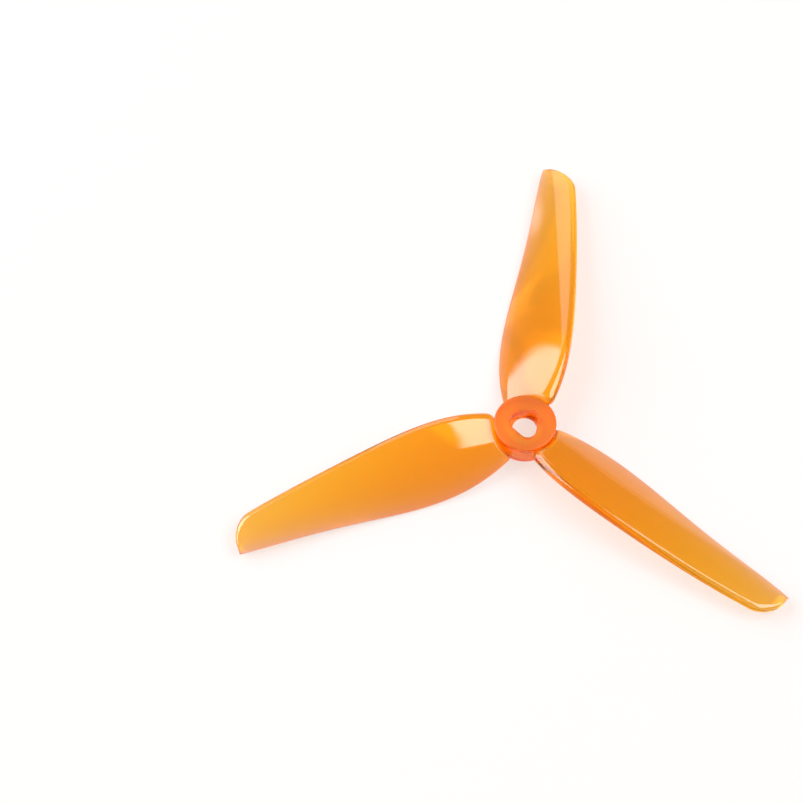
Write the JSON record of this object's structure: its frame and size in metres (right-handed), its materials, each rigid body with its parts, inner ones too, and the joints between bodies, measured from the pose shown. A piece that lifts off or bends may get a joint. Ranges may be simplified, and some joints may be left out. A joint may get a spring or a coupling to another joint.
{
  "type": "multirotor propeller",
  "caption": "Clear orange plastic drone propeller: swept, twisted and cambered blades around a round hub with a keyed socket and shaft bore.",
  "frame": {"origin": "on the shaft axis, in the plane of the hub's underside, which sits on the motor", "axes": "+Z along the shaft towards the thrust side, +Y along the middle of blade_1; seen from +Z it turns clockwise"},
  "size_m": [0.1117, 0.0999, 0.0084],
  "materials": {
    "blade_plastic": "polished",
    "hub_plastic": "satin"
  },
  "bodies": {
    "root": {"hub": "hub_plastic", "blade_1": "blade_plastic", "blade_2": "blade_plastic", "blade_3": "blade_plastic"}
  },
  "joints": []
}
